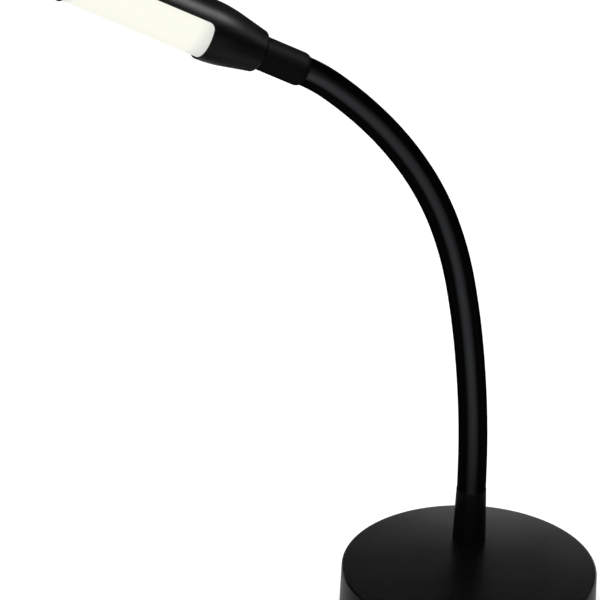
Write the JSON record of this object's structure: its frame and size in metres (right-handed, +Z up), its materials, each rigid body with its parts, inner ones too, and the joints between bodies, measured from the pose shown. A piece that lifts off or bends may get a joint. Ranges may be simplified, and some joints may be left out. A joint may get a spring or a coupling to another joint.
{
  "type": "gooseneck desk lamp",
  "caption": "Desk lamp with a weighted round base, a flexible gooseneck and a tubular lamp head with a white diffuser set into its underside.",
  "frame": {"origin": "centre of the rubber pad's underside, on the desk", "axes": "+Z up, +Y to the rear, where the power inlet is, -Y to the front, where the power button is; at rest the neck arches towards -X"},
  "size_m": [0.3123, 0.141, 0.4118],
  "materials": {
    "base_plastic": "satin black, fine even grain",
    "head_plastic": "satin black, moulded",
    "button_plastic": "satin black",
    "dark_plastic": "plain black",
    "neck_sleeve": "smooth black soft sleeve with a faint sheen",
    "pad_rubber": "matt black foam rubber",
    "lead_jacket": "black cable jacket",
    "hose_steel": "wound steel",
    "zinc_steel": "zinc plated",
    "ballast_iron": "rough cast",
    "brass": "turned",
    "carrier_aluminium": "plain extruded",
    "green_board": "solder mask",
    "driver_parts": "ferrite, can and moulded parts",
    "white_board": "white solder mask",
    "led_resin": "phosphor yellow",
    "lit_diffuser": "opal white, lit from inside"
  },
  "bodies": {
    "base": {"base_shell": "base_plastic", "base_plate": "zinc_steel", "base_pad": "pad_rubber", "ballast": "ballast_iron", "base_screws": "zinc_steel", "neck_post": "head_plastic", "post_washer": "zinc_steel", "post_nut": "zinc_steel", "driver_board": "green_board", "driver_parts": "driver_parts", "board_screws": "zinc_steel", "push_switch": "dark_plastic", "power_inlet": "dark_plastic", "inlet_pin": "brass", "inlet_wires": "lead_jacket", "base_lead": "lead_jacket", "neck_hose_1": "hose_steel", "neck_sleeve_1": "neck_sleeve", "neck_lead_1": "lead_jacket"},
    "button": {"power_button": "button_plastic", "switch_plunger": "dark_plastic"},
    "neck_2": {"neck_hose_2": "hose_steel", "neck_sleeve_2": "neck_sleeve", "neck_lead_2": "lead_jacket"},
    "neck_3": {"neck_hose_3": "hose_steel", "neck_sleeve_3": "neck_sleeve", "neck_lead_3": "lead_jacket"},
    "neck_4": {"neck_hose_4": "hose_steel", "neck_sleeve_4": "neck_sleeve", "neck_lead_4": "lead_jacket"},
    "neck_5": {"neck_hose_5": "hose_steel", "neck_sleeve_5": "neck_sleeve", "neck_lead_5": "lead_jacket"},
    "neck_6": {"neck_hose_6": "hose_steel", "neck_sleeve_6": "neck_sleeve", "neck_lead_6": "lead_jacket"},
    "neck_7": {"neck_hose_7": "hose_steel", "neck_sleeve_7": "neck_sleeve", "neck_lead_7": "lead_jacket"},
    "neck_8": {"neck_hose_8": "hose_steel", "neck_sleeve_8": "neck_sleeve", "neck_lead_8": "lead_jacket"},
    "neck_top": {"neck_hose_9": "hose_steel", "neck_sleeve_9": "neck_sleeve", "neck_lead_9": "lead_jacket", "head_collar": "head_plastic", "swivel_spindle": "zinc_steel", "swivel_washer": "zinc_steel", "swivel_nut": "brass"},
    "head": {"head_housing": "head_plastic", "end_cap": "head_plastic", "diffuser": "lit_diffuser", "led_carrier": "carrier_aluminium", "led_board": "white_board", "leds": "led_resin", "carrier_screws": "zinc_steel", "head_lead": "lead_jacket"}
  },
  "joints": [
    {"name": "neck_joint_1", "type": "hinge", "parent": "base", "child": "neck_2", "pos_m": [-0.00016, 0.03446, 0.07962], "axis": [0.2419, -0.9703, 0], "range_deg": [-22.75, 17.25]},
    {"name": "neck_joint_2", "type": "hinge", "parent": "neck_2", "child": "neck_3", "pos_m": [-0.00189, 0.03403, 0.11682], "axis": [0.9673, 0.2412, 0.0785], "range_deg": [-20, 20]},
    {"name": "neck_joint_3", "type": "hinge", "parent": "neck_3", "child": "neck_4", "pos_m": [-0.00567, 0.03309, 0.15387], "axis": [0.2419, -0.9703, 0], "range_deg": [-23.5, 16.5]},
    {"name": "neck_joint_4", "type": "hinge", "parent": "neck_4", "child": "neck_5", "pos_m": [-0.01163, 0.0316, 0.1906], "axis": [0.9508, 0.2371, 0.1994], "range_deg": [-20, 20]},
    {"name": "neck_joint_5", "type": "hinge", "parent": "neck_5", "child": "neck_6", "pos_m": [-0.02159, 0.02912, 0.22637], "axis": [0.2419, -0.9703, 0], "range_deg": [-30.25, 9.75]},
    {"name": "neck_joint_6", "type": "hinge", "parent": "neck_6", "child": "neck_7", "pos_m": [-0.03755, 0.02514, 0.25972], "axis": [0.8229, 0.2052, 0.5299], "range_deg": [-20, 20]},
    {"name": "neck_joint_7", "type": "hinge", "parent": "neck_7", "child": "neck_8", "pos_m": [-0.05927, 0.01972, 0.28943], "axis": [0.2419, -0.9703, 0], "range_deg": [-29.5, 10.5]},
    {"name": "neck_joint_8", "type": "hinge", "parent": "neck_8", "child": "neck_top", "pos_m": [-0.08546, 0.01319, 0.31505], "axis": [0.6106, 0.1522, 0.7771], "range_deg": [-20, 20]},
    {"name": "head_swivel", "type": "hinge", "parent": "neck_top", "child": "head", "pos_m": [-0.12424, 0.00352, 0.33832], "axis": [-0.8567, -0.2136, 0.4695], "range_deg": [-116, 64]},
    {"name": "button_press", "type": "slide", "parent": "base", "child": "button", "axis": [0, 0, -1], "range_m": [0, 0.0008], "stiffness_N_per_m": 1500, "springref_m": -0.0008}
  ]
}
